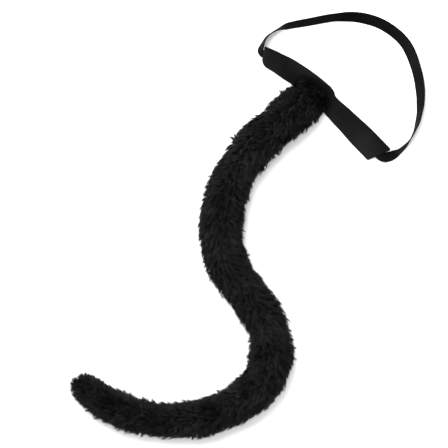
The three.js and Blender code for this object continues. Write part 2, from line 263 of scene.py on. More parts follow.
# Plain values of the materials.
LOOKS = {
    "fur": {"colour": (0.008, 0.008, 0.008), "roughness": 0.45, "specular": 0.08, "sheen": 0},
    "band_cloth": {"colour": (0.0043, 0.0043, 0.0045), "roughness": 0.6, "specular": 0.05, "sheen": 0.01},
    "elastic": {"colour": (0.0038, 0.0038, 0.004), "roughness": 0.6, "specular": 0.03, "sheen": 0},
    "thread": {"colour": (0.0065, 0.0065, 0.0068), "roughness": 0.55, "specular": 0.08, "sheen": 0.01},
    "floor": {"colour": (0.93, 0.93, 0.93), "roughness": 0.9, "specular": 0.1, "sheen": 0},
}
SHEEN_ROUGHNESS = 0.4

# The woven ones: pitch of their threads across and along, how deep these are, and the size of the whole sheet.
# At THREAD_SCALE the bands of threads lie one metre apart.
WEAVES = {
    "band_cloth": {"pitches": (0.45 * MM, 0.45 * MM), "depth": 0.06 * MM, "size": (BAND_WIDTH, BAND_LENGTH)},
    "elastic": {"pitches": (1.0 * MM, 0.5 * MM), "depth": 0.12 * MM,
                "size": (ELASTIC_WIDTH, ELASTIC_LENGTH + 2 * SEWN_LENGTH)},
    "thread": {"pitches": (0.3 * MM, 0.3 * MM), "depth": 0.05 * MM, "size": None},
}
THREAD_SCALE = math.pi / 10
WEAVE_DISTORTION = 0.4
WEAVE_STRENGTH = 0.5

# Blacks of the fur at its roots and its tips, where the darkening towards the roots is painted shade deep in
# the pile, and how its strands and patches differ.
DARKEST_BLACK_AND_PILE_SHADE = (0.0002, 0.0002, 0.0002, 1)
TIP_BLACK = (0.024, 0.0238, 0.0242, 1)
PAINTED_PILE_SHADE_POWER = 2
STRAND_LEVELS = (0.1, 1.15)
PATCH_SCALE = 48
PATCH_DETAIL = 4
PATCH_RANGE = (0.37, 0.62)
PATCH_LEVELS = (0.2, 1.0)

# Uneven dye of the cloths, as shares of their colour.
DYE_SCALE = 18
DYE_DETAIL = 5
DYE_RANGE = (0.3, 0.7)
DARK_DYE = 0.2
PALE_DYE = 1.9

# Width of the darker border along the edges of the cloth, and its level.
EDGE_BORDER = 1.6 * MM
EDGE_CORE = 0.4
EDGE_LEVEL = 0.25

# How far the painted shade round the tail's root reaches on the band, across and along it, and where the
# painted shade on the first half of the elastic fades out.
BAND_PAINTED_SHADE_REACH = (19 * MM, 31 * MM)
BAND_PAINTED_SHADE_START = 0.72
BAND_PAINTED_SHADE_LEVEL = 0.15
ELASTIC_PAINTED_SHADE_SHARES = (0.38, 0.62)
ELASTIC_PAINTED_SHADE_LEVEL = 0.05

# Radii of the corners at the ends of the band, at its outer and its inner edge, and how far they act.
LEFT_CORNERS = (8 * MM, 2.5 * MM)
RIGHT_CORNERS = (1.5 * MM, 3 * MM)
CORNER_SHARE = 0.1

# Stitches: where the elastic is sewn on, and where the tail is sewn to the band.
STITCH_LENGTH = 2.2 * MM
STITCH_GAP = 0.9 * MM
THREAD_RADIUS = 0.2 * MM
STITCH_SIDES = 6
STITCH_STATIONS = (0, 0.15, 0.5, 0.85, 1)
STITCH_HEIGHTS = (-0.8, 0.35, 0.6, 0.35, -0.8)
STITCH_INSET = 2.2 * MM
SEWN_INSET = 1.5 * MM
SEAM_SIDE_STEPS = 30
SEAM_RING_STEPS = 200
ROOT_SEAM_ALONG = 17 * MM
ROOT_SEAM_ACROSS = 8.5 * MM

# The picture: its middle from the root of the band, its width, and the height at which that width is seen.
PICTURE_MIDDLE = np.array((-102.85, -147.95)) * MM
PICTURE_WIDTH = 492.8 * MM
PICTURE_HEIGHT = 12 * MM
CAMERA_DISTANCE = 4.0
CAMERA_REACH = 50

# The studio: light from all round, a soft lamp on the far left, and the floor.
SKY_STRENGTH = 1.15
KEY_PLACE = (-0.6, 1.2, 2.0)
KEY_SIZE = 1.7
KEY_POWER = 95
FLOOR_SIZE = 12


def read_table(rows, column, at):
    """Reads one column of a table of stations, easing from row to row."""
    stations = np.array([row["at"] for row in rows], float)
    values = np.array([row[column] for row in rows], float)
    here = np.clip(np.searchsorted(stations, at) - 1, 0, len(rows) - 2)
    part = np.clip((at - stations[here]) / (stations[here + 1] - stations[here]), 0, 1)
    return values[here] + smooth(part) * (values[here + 1] - values[here])


def smooth(part):
    """Eases a share from 0 to 1."""
    part = np.clip(part, 0, 1)
    return part * part * (3 - 2 * part)


def follow_stretches(stretches, start_heading, length, at):
    """Follows arcs and gives the place and heading at shares of the whole length."""
    at = np.asarray(at, float)
    x = np.zeros_like(at)
    y = np.zeros_like(at)
    heading = np.full_like(at, math.radians(start_heading))
    left = at.copy()
    for number, stretch in enumerate(stretches):
        is_last = number == len(stretches) - 1
        share = left if is_last else np.minimum(left, stretch["share"])
        turn = math.radians(stretch["turn"]) * share / stretch["share"]
        chord = share * length * np.sinc(turn / (2 * np.pi))
        x += chord * np.cos(heading + turn / 2)
        y += chord * np.sin(heading + turn / 2)
        heading = heading + turn
        left = left - share
    return x, y, heading


def unit(vectors):
    """Vectors at length 1."""
    return vectors / np.maximum(np.linalg.norm(vectors, axis=-1, keepdims=True), TINY)


def stack(x, y, z):
    """Joins coordinates to vectors."""
    return np.stack(np.broadcast_arrays(x, y, z), axis=-1)


def strip_directions(heading, lean):
    """Directions of a flat strip: along it, across it, and out of its upper face."""
    along = stack(np.cos(heading), np.sin(heading), 0.0)
    across = stack(-np.sin(heading) * np.cos(lean), np.cos(heading) * np.cos(lean), np.sin(lean))
    return along, across, np.cross(along, across)


def resting_height(width, thickness, lean):
    """Height of the middle of a strip that rests by its lower edge."""
    return width / 2 * np.abs(np.sin(lean)) + thickness / 2 * np.abs(np.cos(lean))


def band_place(at):
    """Middle, directions and lean of the band, with the middle of its root at 0."""
    root_x, root_y, _ = follow_stretches(BAND_STRETCHES, BAND_HEADING, BAND_LENGTH, ROOT_ALONG)
    x, y, heading = follow_stretches(BAND_STRETCHES, BAND_HEADING, BAND_LENGTH, at)
    lean = np.radians(read_table(BAND_LEANS, "lean", at))
    middle = stack(x - root_x, y - root_y, resting_height(BAND_WIDTH, BAND_THICKNESS, lean))
    return middle, strip_directions(heading, lean), lean


def band_slant(at, across):
    """How far a point across the band is shifted along it, as a share of its length."""
    right = smooth((at - 1 + RIGHT_SLANT_SHARE) / RIGHT_SLANT_SHARE) * RIGHT_SLANT
    left = (1 - smooth(at / LEFT_SLANT_SHARE)) * LEFT_SLANT
    return (right - left) * across / BAND_LENGTH


def on_band(at, across, depth):
    """Points of the band at shares of its length and half width, and at a depth out of its middle."""
    middle, (_, sideways, out), _ = band_place(at + band_slant(at, across))
    return middle + sideways * (across * BAND_WIDTH / 2)[..., None] + out * depth[..., None]


def find_shift():
    """From the root of the band, where the tables start, to the frame's origin."""
    stations = np.linspace(0, 1, SHIFT_STATIONS)
    at, across = np.meshgrid(stations, [-BAND_FACE_SHARE, BAND_FACE_SHARE, -1, 1], indexing="ij")
    inner = np.abs(across) < 1
    depth = np.where(inner, BAND_THICKNESS / 2, BAND_EDGE_SHARE * BAND_THICKNESS / 2)
    points = np.concatenate([on_band(at, across, depth), on_band(at, across, -depth)])
    low = points.reshape(-1, 3).min(axis=0)
    return np.array(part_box("waistband")[0]) - low


SHIFT = find_shift()


def tail_section(at):
    """Middle, directions and half sizes of the backing."""
    root, (_, root_across, root_out), _ = band_place(np.array(ROOT_ALONG))
    start = root + root_across * ROOT_ACROSS * BAND_WIDTH + root_out * (BAND_THICKNESS / 2 - ROOT_DEPTH)
    x, y, heading = follow_stretches(
        SPINE_STRETCHES, SPINE_HEADING, TAIL_LENGTH, at * BACKING_LENGTH / TAIL_LENGTH)
    half_width = read_table(TAIL_SECTIONS, "wide", at) * CORE_HALF_WIDTH
    half_height = read_table(TAIL_SECTIONS, "tall", at) * CORE_HALF_HEIGHT
    bent = np.clip(at / ROOT_BEND, 0, 1)
    rise = np.sin(bent * np.pi / 2)
    height = start[2] * (1 - rise) + half_height * PRESSED * rise
    still = (1 - bent) ** 2
    tilt = still * math.asin(root_out[2])
    heading = heading + still * (math.atan2(root_out[1], root_out[0]) - heading)
    level = stack(-np.sin(heading), np.cos(heading), 0.0)
    forward = stack(np.cos(heading) * np.cos(tilt), np.sin(heading) * np.cos(tilt), np.sin(tilt))
    middle = stack(start[0] + x, start[1] + y, height)
    return middle, level, np.cross(forward, level), half_width, half_height


def backing(at, angle):
    """Points of the backing at shares of its length and angles round it."""
    middle, level, top, half_width, half_height = tail_section(at)
    points = middle + level * (half_width * np.cos(angle))[..., None]
    points = points + top * (half_height * np.sin(angle))[..., None]
    points[..., 2] = np.maximum(points[..., 2], 0)
    return points


def backing_frame(at, angle):
    """Points of the backing with unit directions: towards the tip, round the tail, and out of it."""
    step, turn = 0.002, 0.05
    ahead = np.minimum(at + step, 1)
    forward = unit(backing(ahead, angle) - backing(ahead - 2 * step, angle))
    round_it = backing(at, angle + turn) - backing(at, angle - turn)
    out = unit(np.cross(round_it, forward))
    return backing(at, angle), forward, np.cross(forward, out), out


def add_mesh(name, points, triangles, uv, smooth_shaded, material):
    """A mesh object from arrays of points, triangles and a map for each corner of each triangle."""
    mesh = bpy.data.meshes.new(name)
    mesh.vertices.add(len(points))
    mesh.vertices.foreach_set("co", np.ascontiguousarray(points, np.float32).ravel())
    mesh.loops.add(triangles.size)
    mesh.loops.foreach_set("vertex_index", np.ascontiguousarray(triangles, np.int32).ravel())
    mesh.polygons.add(len(triangles))
    mesh.polygons.foreach_set("loop_start", np.arange(0, triangles.size, 3, dtype=np.int32))
    mesh.polygons.foreach_set("use_smooth", np.full(len(triangles), smooth_shaded))
    layer = mesh.uv_layers.new(name="UVMap")
    layer.data.foreach_set("uv", np.ascontiguousarray(uv[triangles.ravel()], np.float32).ravel())
    mesh.update(calc_edges=True)
    mesh.validate()
    mesh.materials.append(material)
    piece = bpy.data.objects.new(name, mesh)
    bpy.context.collection.objects.link(piece)
    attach(piece, "root")
    return piece


def loft(name, rings, uv, material):
    """A closed smooth mesh through an array of rings by sides by 3, with its ends filled."""
    count, sides = rings.shape[:2]
    ring = np.arange(count - 1)[:, None] * sides
    side = np.arange(sides)[None, :]
    after = (side + 1) % sides
    a, b = ring + side, ring + after
    walls = np.concatenate([
        np.stack([a, b, b + sides], axis=-1).reshape(-1, 3),
        np.stack([a, b + sides, a + sides], axis=-1).reshape(-1, 3),
    ])
    first, last = count * sides, count * sides + 1
    near = np.arange(sides)
    far = near + (count - 1) * sides
    lids = np.concatenate([
        np.stack([np.full(sides, first), np.roll(near, -1), near], axis=-1),
        np.stack([np.full(sides, last), far, np.roll(far, -1)], axis=-1),
    ])
    points = np.concatenate([rings.reshape(-1, 3), [rings[0].mean(axis=0), rings[-1].mean(axis=0)]])
    flat_uv = np.concatenate([uv.reshape(-1, 2), [uv[0].mean(axis=0), uv[-1].mean(axis=0)]])
    return add_mesh(name, points, np.concatenate([walls, lids]), flat_uv, True, material)


def principled(name):
    """A new node material: its name, and its shader with the plain values set on the shader itself."""
    look = LOOKS[name]
    material = bpy.data.materials.new(name)
    material.use_nodes = True
    shader = material.node_tree.nodes["Principled BSDF"]
    shader.inputs["Base Color"].default_value = (*look["colour"], 1)
    shader.inputs["Roughness"].default_value = look["roughness"]
    shader.inputs["Specular IOR Level"].default_value = look["specular"]
    shader.inputs["Sheen Weight"].default_value = look["sheen"]
    shader.inputs["Sheen Roughness"].default_value = SHEEN_ROUGHNESS
    return material, shader


def add_node(material, kind, values=None, **settings):
    """A new node of a material, with its settings and the plain values of its inputs."""
    node = material.node_tree.nodes.new("ShaderNode" + kind)
    for name, value in settings.items():
        setattr(node, name, value)
    for name, value in (values or {}).items():
        node.inputs[name].default_value = value
    return node


def link(material, output, target):
    """Joins the output of a node to an input of another."""
    material.node_tree.links.new(output, target)


def map_range(material, value, limits, levels, interpolation="LINEAR"):
    """A value spread from its limits to new levels."""
    spread = add_node(material, "MapRange", interpolation_type=interpolation, values={
        "From Min": limits[0], "From Max": limits[1], "To Min": levels[0], "To Max": levels[1]})
    link(material, value, spread.inputs["Value"])
    return spread.outputs[0]


def multiply(material, first, second):
    """The product of two values of a material."""
    product = add_node(material, "Math", operation="MULTIPLY")
    link(material, first, product.inputs[0])
    link(material, second, product.inputs[1])
    return product.outputs[0]


def noise(material, place, scale, detail):
    """Soft random patches over the object."""
    patches = add_node(material, "TexNoise", {"Scale": scale, "Detail": detail})
    link(material, place.outputs["Object"], patches.inputs["Vector"])
    return patches.outputs["Fac"]


def tint(material, shader, level, dark, pale):
    """Colours a shader from dark to pale by a level."""
    mix = add_node(material, "Mix", {"A": dark, "B": pale}, data_type="RGBA")
    link(material, level, mix.inputs["Factor"])
    link(material, mix.outputs["Result"], shader.inputs["Base Color"])


def fur_material():
    """Soft black pile: painted shade darkens it towards its roots, with strands and patches of slightly
    different blacks.
    """
    material, shader = principled("fur")
    place = add_node(material, "TexCoord")
    split = add_node(material, "SeparateXYZ")
    link(material, place.outputs["UV"], split.inputs[0])
    patches = noise(material, place, PATCH_SCALE, PATCH_DETAIL)
    patch = map_range(material, patches, PATCH_RANGE, PATCH_LEVELS)
    strand = map_range(material, split.outputs["X"], (0, 1), STRAND_LEVELS)
    # Painted shade: the strands darken towards their roots, deep in the pile.
    depth = add_node(material, "Math", {1: PAINTED_PILE_SHADE_POWER}, operation="POWER")
    link(material, split.outputs["Y"], depth.inputs[0])
    level = multiply(material, depth.outputs[0], strand)
    tint(material, shader, multiply(material, level, patch), DARKEST_BLACK_AND_PILE_SHADE, TIP_BLACK)
    return material


def near_edge(material, coordinate, middle, reach):
    """A share that falls from 1 within a border along both edges of a map coordinate."""
    offset = add_node(material, "Math", {1: middle}, operation="SUBTRACT")
    distance = add_node(material, "Math", operation="ABSOLUTE")
    link(material, coordinate, offset.inputs[0])
    link(material, offset.outputs[0], distance.inputs[0])
    border = (reach - EDGE_BORDER, reach - EDGE_CORE * EDGE_BORDER)
    return map_range(material, distance.outputs[0], border, (1, EDGE_LEVEL))


def painted_shade_round_root(material, coordinates):
    """A share that falls on the band close round the root of the tail: painted shade where the fur's root
    shades the band.
    """
    root = (ROOT_ACROSS * BAND_WIDTH, ROOT_ALONG * BAND_LENGTH, 0)
    offset = add_node(material, "VectorMath", {1: root}, operation="SUBTRACT")
    spread = add_node(material, "VectorMath", {1: (*BAND_PAINTED_SHADE_REACH, 1)}, operation="DIVIDE")
    distance = add_node(material, "VectorMath", operation="LENGTH")
    link(material, coordinates, offset.inputs[0])
    link(material, offset.outputs[0], spread.inputs[0])
    link(material, spread.outputs[0], distance.inputs[0])
    return map_range(material, distance.outputs["Value"], (BAND_PAINTED_SHADE_START, 1), (BAND_PAINTED_SHADE_LEVEL, 1), "SMOOTHSTEP")


def painted_shade_along_elastic(material, coordinate):
    """A share that rises to 1 along the elastic: painted shade that darkens its first half."""
    limits = [share * ELASTIC_LENGTH for share in ELASTIC_PAINTED_SHADE_SHARES]
    return map_range(material, coordinate, limits, (ELASTIC_PAINTED_SHADE_LEVEL, 1), "SMOOTHSTEP")


def weave_bump(material, shader, coordinates, pitches, depth):
    """Raises the threads of a cloth, across and along its map."""
    weave = add_node(material, "Math", operation="ADD")
    for number, (axis, pitch) in enumerate(zip("XY", pitches)):
        threads = add_node(
            material, "TexWave",
            {"Scale": THREAD_SCALE / pitch, "Distortion": WEAVE_DISTORTION, "Detail": 1},
            wave_type="BANDS", bands_direction=axis, wave_profile="SIN")
        link(material, coordinates, threads.inputs["Vector"])
        link(material, threads.outputs["Fac"], weave.inputs[number])
    bump = add_node(material, "Bump", {"Strength": WEAVE_STRENGTH, "Distance": depth})
    link(material, weave.outputs[0], bump.inputs["Height"])
    link(material, bump.outputs["Normal"], shader.inputs["Normal"])


def woven_material(name):
    """Woven black cloth on a map in metres: its threads, uneven dye and, if it has a size, darker edges."""
    material, shader = principled(name)
    weave = WEAVES[name]
    place = add_node(material, "TexCoord")
    split = add_node(material, "SeparateXYZ")
    link(material, place.outputs["UV"], split.inputs[0])
    weave_bump(material, shader, place.outputs["UV"], weave["pitches"], weave["depth"])
    level = map_range(material, noise(material, place, DYE_SCALE, DYE_DETAIL), DYE_RANGE, (0, 1))
    if weave["size"]:
        width, length = weave["size"]
        across = near_edge(material, split.outputs["X"], 0, width / 2)
        along = near_edge(material, split.outputs["Y"], length / 2, length / 2)
        level = multiply(material, level, multiply(material, across, along))
    # Painted shade on the band close round the tail's root.
    if name == "band_cloth":
        level = multiply(material, level, painted_shade_round_root(material, place.outputs["UV"]))
    # Painted shade that darkens the first half of the elastic.
    if name == "elastic":
        level = multiply(material, level, painted_shade_along_elastic(material, split.outputs["Y"]))
    colour = LOOKS[name]["colour"]
    dark, pale = ((*[share * part for part in colour], 1) for share in (DARK_DYE, PALE_DYE))
    tint(material, shader, level, dark, pale)
    return material


def strip_outline(half_width, half_thickness, flat_points, edge_points):
    """Outline of a strip's section, as across and out: two flat faces and half-round edges."""
    turn = np.linspace(-np.pi / 2, np.pi / 2, edge_points)
    reach = half_width - half_thickness
    edge = np.stack([reach + half_thickness * np.cos(turn), half_thickness * np.sin(turn)], axis=1)
    across = np.linspace(reach, -reach, flat_points + 2)[1:-1]
    face = np.stack([across, np.full_like(across, half_thickness)], axis=1)
    half = np.concatenate([edge, face])
    return np.concatenate([half, -half])


def end_rounding(distance, radius):
    """Share of the full thickness at a distance from a half-round end."""
    near = np.clip(distance / radius, 0, 1)
    return np.sqrt(np.maximum(1 - (1 - near) ** 2, LEAST_ROUNDING))


def corner_shift(across, low_radius, high_radius):
    """How far an end of the band draws in for its rounded corners, at shares of the half width."""
    radius = np.where(across < 0, low_radius, high_radius)
    near = np.clip(1 - (1 - np.abs(across)) * BAND_WIDTH / 2 / radius, 0, 1)
    return radius * (1 - np.sqrt(1 - near ** 2))


def make_band(material):
    """The waistband: a smooth flat band with soft edges and rounded corners."""
    ends = np.array(END_STATIONS) * BAND_THICKNESS / 2 / BAND_LENGTH
    at = np.concatenate([ends[:-1], np.linspace(ends[-1], 1 - ends[-1], BAND_RINGS), 1 - ends[-2::-1]])
    outline = strip_outline(BAND_WIDTH / 2, BAND_THICKNESS / 2, **BAND_OUTLINE)
    share = outline[:, 0] / (BAND_WIDTH / 2)
    rounding = end_rounding(np.minimum(at, 1 - at) * BAND_LENGTH, BAND_THICKNESS / 2)
    at_grid, share_grid = np.meshgrid(at, share, indexing="ij")
    left = corner_shift(share_grid, *LEFT_CORNERS) / BAND_LENGTH
    right = corner_shift(share_grid, *RIGHT_CORNERS) / BAND_LENGTH
    near_left = 1 - smooth(at_grid / CORNER_SHARE)
    near_right = 1 - smooth((1 - at_grid) / CORNER_SHARE)
    depth = rounding[:, None] * outline[None, :, 1]
    rings = on_band(at_grid + left * near_left - right * near_right, share_grid, depth) + SHIFT
    uv = np.stack([outline[:, 0] + 0 * at_grid, at_grid * BAND_LENGTH], axis=-1)
    piece = loft("waistband_cloth", rings, uv, material)
    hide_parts("waistband")
    return piece


def make_stitches(name, starts, ends, outs, material):
    """A row of stitches, each a short thread that rises from the cloth and goes back into it."""
    stations = np.array(STITCH_STATIONS)
    heights = np.array(STITCH_HEIGHTS) * THREAD_RADIUS
    sides = STITCH_SIDES
    turn = np.linspace(0, 2 * np.pi, sides, endpoint=False)
    run = unit(ends - starts)
    level = np.cross(outs, run)
    middles = starts[:, None] + (ends - starts)[:, None] * stations[None, :, None]
    middles = middles + outs[:, None] * heights[None, :, None]
    rim = level[:, None] * np.cos(turn)[None, :, None] + outs[:, None] * np.sin(turn)[None, :, None]
    points = middles[:, :, None] + THREAD_RADIUS * rim[:, None]
    ring = np.arange(len(stations) - 1)[:, None] * sides
    side = np.arange(sides)[None, :]
    after = (side + 1) % sides
    walls = np.concatenate([
        np.stack([ring + side, ring + side + sides, ring + after + sides], axis=-1).reshape(-1, 3),
        np.stack([ring + side, ring + after + sides, ring + after], axis=-1).reshape(-1, 3),
    ])
    fan = np.arange(1, sides - 1)
    last = (len(stations) - 1) * sides
    lids = np.concatenate([
        np.stack([0 * fan, fan, fan + 1], axis=-1),
        np.stack([last + 0 * fan, last + fan + 1, last + fan], axis=-1),
    ])
    pattern = np.concatenate([walls, lids])
    each = len(stations) * sides
    triangles = np.arange(len(starts))[:, None, None] * each + pattern[None]
    twist = np.broadcast_to(stations[None, :, None], points.shape[:3]) * STITCH_LENGTH
    around = np.broadcast_to(turn[None, None, :], points.shape[:3]) * THREAD_RADIUS
    uv = np.stack([around, twist], axis=-1)
    piece = add_mesh(name, points.reshape(-1, 3) + SHIFT, triangles.reshape(-1, 3), uv.reshape(-1, 2), True,
                     material)
    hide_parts("waistband")


def stitch_path(name, at, across, side, material):
    """Stitches along a path on one face of the band: side is 1 on its front and -1 on its back."""
    depth = np.full(at.shape, side * BAND_THICKNESS / 2)
    path = on_band(at, across, depth)
    _, (_, _, out), _ = band_place(at)
    measured = lengths_along(path)
    step = STITCH_LENGTH + STITCH_GAP
    begin = np.arange(int(measured[-1] // step)) * step
    places = [np.stack([np.interp(reach, measured, path[:, k]) for k in range(3)], axis=-1)
              for reach in (begin, begin + STITCH_LENGTH)]
    normal = side * unit(np.stack([np.interp(begin, measured, out[:, k]) for k in range(3)], axis=-1))
    make_stitches(name, *places, normal, material)


def sew(material):
    """A box of stitches at each end of the band, through the elastic, and a ring through the tail's hem."""
    half = ELASTIC_WIDTH / 2 / (BAND_WIDTH / 2) - STITCH_INSET / BAND_WIDTH
    near = STITCH_INSET / BAND_LENGTH
    far = (SEWN_LENGTH - SEWN_INSET) / BAND_LENGTH
    steps = np.linspace(0, 1, SEAM_SIDE_STEPS)
    still = np.ones(SEAM_SIDE_STEPS)
    run = (far - near) * steps
    along = np.concatenate([near + run, far * still, far - run, near * still])
    across = np.concatenate([-half * still, half * (2 * steps - 1), half * still, half * (1 - 2 * steps)])
    stitch_path("left_stitches", along, across, 1, material)
    stitch_path("right_stitches", 1 - along, across, 1, material)
    turn = np.linspace(0, 2 * np.pi, SEAM_RING_STEPS)
    root_across = 2 * (ROOT_ACROSS + ROOT_SEAM_ACROSS / BAND_WIDTH * np.sin(turn))
    root_along = ROOT_ALONG + ROOT_SEAM_ALONG / BAND_LENGTH * np.cos(turn)
    stitch_path("root_stitches", root_along, root_across, -1, material)


def catmull_rom(points, steps):
    """A centripetal Catmull-Rom line through the points, as many places."""
    ends = [2 * points[0] - points[1], 2 * points[-1] - points[-2]]
    padded = [ends[0], *points, ends[1]]
    t = np.linspace(0, 1, steps, endpoint=False)[:, None]
    line = []
    for p0, p1, p2, p3 in zip(padded, padded[1:], padded[2:], padded[3:]):
        d0, d1, d2 = (np.linalg.norm(b - a) ** 0.5 for a, b in ((p0, p1), (p1, p2), (p2, p3)))
        leaving = ((p1 - p0) / d0 - (p2 - p0) / (d0 + d1) + (p2 - p1) / d1) * d1
        arriving = ((p2 - p1) / d1 - (p3 - p1) / (d1 + d2) + (p3 - p2) / d2) * d1
        square = -3 * p1 + 3 * p2 - 2 * leaving - arriving
        cube = 2 * p1 - 2 * p2 + leaving + arriving
        line.append(p1 + leaving * t + square * t ** 2 + cube * t ** 3)
    return np.concatenate([*line, points[-1:]])


def lengths_along(line):
    """Length from the start of a line to each of its points."""
    steps = np.linalg.norm(np.diff(line, axis=0), axis=1)
    return np.concatenate([[0], np.cumsum(steps)])


def sewn_place(at):
    """Middle of the elastic where it is sewn behind the band, with the band's directions."""
    middle, (along, across, out), lean = band_place(at)
    offset = BAND_THICKNESS / 2 + GAP + ELASTIC_THICKNESS / 2
    return middle - out * offset, along, across, out, lean


def elastic_line(bulge):
    """The line of the free elastic seen from above, with its bulge out scaled by a factor."""
    left, left_along, *_ = sewn_place(np.array(0.0))
    right, right_along, *_ = sewn_place(np.array(1.0))
    along = (right - left)[:2]
    out = np.array([-along[1], along[0]])
    free = [left[:2] + along * row["along"] + out * row["out"] * bulge for row in ELASTIC_POINTS]
    leaving = left[:2] - left_along[:2] * ELASTIC_STRAIGHT
    arriving = right[:2] + right_along[:2] * ELASTIC_STRAIGHT
    return catmull_rom(np.array([left[:2], leaving, *free, arriving, right[:2]]), CURVE_STEPS)


def fit_elastic_line():
    """The line whose length is that of the elastic, found by halving the range of the bulge."""
    low, high = LEAST_BULGE, MOST_BULGE
    for _ in range(BULGE_STEPS):
        middle = (low + high) / 2
        is_short = lengths_along(elastic_line(middle))[-1] < ELASTIC_LENGTH
        low, high = (middle, high) if is_short else (low, middle)
    return elastic_line((low + high) / 2)


def elastic_stations():
    """Middles and directions of the whole elastic, from one sewn end round the loop to the other."""
    line = fit_elastic_line()
    measured = lengths_along(line)
    at = np.linspace(0, 1, ELASTIC_RINGS)
    x = np.interp(at * measured[-1], measured, line[:, 0])
    y = np.interp(at * measured[-1], measured, line[:, 1])
    heading = np.unwrap(np.arctan2(np.gradient(y), np.gradient(x)))
    left, _, _, _, left_lean = sewn_place(np.array(0.0))
    right, _, _, _, right_lean = sewn_place(np.array(1.0))
    straight = ELASTIC_STRAIGHT / ELASTIC_LENGTH
    leans = [
        {"at": 0, "lean": FACE_DOWN - math.degrees(left_lean)},
        {"at": straight, "lean": FACE_DOWN - math.degrees(left_lean)},
        *ELASTIC_LEANS,
        {"at": 1 - straight, "lean": FACE_DOWN - math.degrees(right_lean)},
        {"at": 1, "lean": FACE_DOWN - math.degrees(right_lean)},
    ]
    lean = np.radians(read_table(leans, "lean", at))
    resting = resting_height(ELASTIC_WIDTH, ELASTIC_THICKNESS, lean)
    drop = ELASTIC_DROP / ELASTIC_LENGTH
    leaving = 1 - smooth(at / drop)
    arriving = smooth((at - 1 + drop) / drop)
    held = resting + leaving * (left[2] - resting) + arriving * (right[2] - resting)
    middles = stack(x, y, np.maximum(held, resting))
    _, across, out = strip_directions(heading, lean)
    reach = np.linspace(1, 0, SEWN_RINGS, endpoint=False) * SEWN_LENGTH / BAND_LENGTH
    first, _, first_across, first_out, _ = sewn_place(reach)
    last, _, last_across, last_out, _ = sewn_place(1 - reach[::-1])
    middles = np.concatenate([first, middles, last])
    across = np.concatenate([first_across, across, last_across])
    out = np.concatenate([-first_out, out, -last_out])
    return middles, across, out


def make_elastic(material):
    """The flat elastic: a thin strip with half-round edges, its sharpest bends eased."""
    middles, across, out = elastic_stations()
    outline = strip_outline(ELASTIC_WIDTH / 2, ELASTIC_THICKNESS / 2, **ELASTIC_OUTLINE)
    offsets = across[:, None, :] * outline[None, :, :1] + out[:, None, :] * outline[None, :, 1:]
    rings = middles[:, None, :] + offsets + SHIFT
    for _ in range(ELASTIC_EASING):
        rings[1:-1] = rings[1:-1] / 2 + (rings[:-2] + rings[2:]) / 4
    along = lengths_along(middles)
    uv = np.stack(np.broadcast_arrays(outline[None, :, 0], along[:, None]), axis=-1)
    piece = loft("elastic_weave", rings, uv, material)
    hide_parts("elastic_strap")
    return piece


def make_backing(material):
    """The stuffed tube of cloth that the fur stands on."""
    even = np.linspace(0, 1, BACKING_RINGS)
    closer_at_ends = (1 - np.cos(np.pi * even)) / 2
    at = BACKING_START + (1 - BACKING_START) * (even + closer_at_ends) / 2
    angle = np.linspace(0, 2 * np.pi, BACKING_SIDES, endpoint=False)
    at_grid, angle_grid = np.meshgrid(at, angle, indexing="ij")
    points = backing(at_grid, angle_grid)
    near_root = at_grid < ROOT_SHARE
    points[near_root] = clear_band(points[near_root])
    rings = points + SHIFT
    rings[..., 2] = np.maximum(rings[..., 2], BACKING_CLEARANCE)
    uv = np.stack([angle_grid * CORE_HALF_WIDTH, at_grid * BACKING_LENGTH], axis=-1)
    piece = loft("tail_backing", rings, uv, material)
    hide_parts("tail")
    return piece


def waves(at, angle, rng, size, count, longest):
    """A smooth field over the tail, about as large as its size: a few waves along and round it."""
    total = np.zeros_like(at)
    for _ in range(count):
        along = rng.uniform(SHORTEST_WAVE, 1) * 2 * np.pi * BACKING_LENGTH / longest
        turns = rng.integers(-MOST_TURNS, MOST_TURNS + 1)
        total += np.sin(along * at + turns * angle + rng.uniform(0, 2 * np.pi))
    return size * total / math.sqrt(count)


def place_locks(rng):
    """Share of the length and angle of each lock, in rows with each row turned against the one before."""
    rows = int(round(BACKING_LENGTH / LOCK_STEP))
    ats, angles = [], []
    for row in range(rows):
        at = (row + 0.5) / rows
        _, _, _, half_width, half_height = tail_section(np.array(at))
        count = max(LEAST_LOCKS, int(round(np.pi * (half_width + half_height) / LOCK_STEP)))
        ats.append(np.full(count, at))
        angles.append((np.arange(count) + (row % 2) / 2) / count * 2 * np.pi)
    at = np.concatenate(ats)
    angle = np.concatenate(angles)
    at = np.clip(at + rng.uniform(-LOCK_JITTER, LOCK_JITTER, at.size) / rows, *LOCK_LIMITS)
    return at, angle + rng.uniform(-LOCK_JITTER, LOCK_JITTER, at.size) * LOCK_STEP / CORE_HALF_WIDTH


def spine_direction(at):
    """Direction of the tail's middle line towards the tip, level with the floor."""
    _, _, heading = follow_stretches(
        SPINE_STRETCHES, SPINE_HEADING, TAIL_LENGTH, at * BACKING_LENGTH / TAIL_LENGTH)
    return stack(np.cos(heading), np.sin(heading), 0.0)


